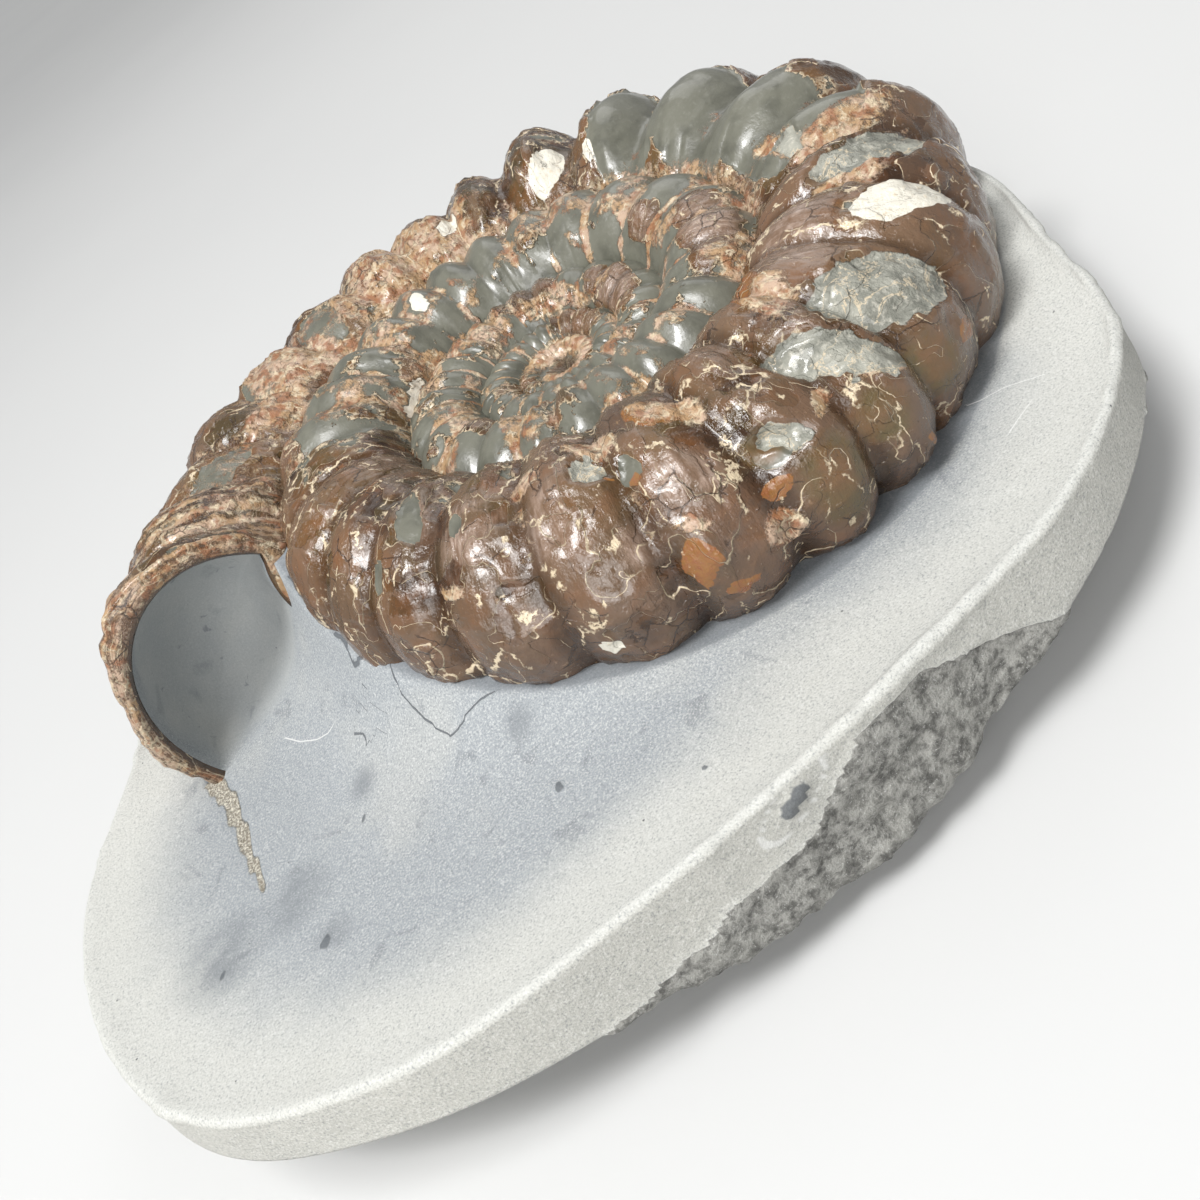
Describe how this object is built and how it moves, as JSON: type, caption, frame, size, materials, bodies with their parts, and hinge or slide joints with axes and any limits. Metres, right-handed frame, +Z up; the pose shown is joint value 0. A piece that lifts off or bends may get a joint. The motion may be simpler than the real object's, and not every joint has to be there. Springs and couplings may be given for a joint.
{
  "type": "ammonite fossil",
  "caption": "Coiled ribbed fossil shell with an open mouth, standing half out of a dished block of grey limestone that rests on a small flat spot.",
  "frame": {"origin": "middle of the bounding box's footprint, on the plane that the flat spot rests on", "axes": "+Z up, along the axis of the coil; +X along the block's longest side, away from the shell's mouth; the mouth opens towards -Y"},
  "size_m": [0.1049, 0.1006, 0.0306],
  "materials": {
    "fossil_shell": "glossy brown fossil shell over grey-green calcite, flaked and broken in places",
    "limestone": "matt fine-grained grey limestone, ground on top and rough underneath"
  },
  "bodies": {
    "root": {"ammonite": "fossil_shell", "matrix": "limestone"}
  },
  "joints": []
}
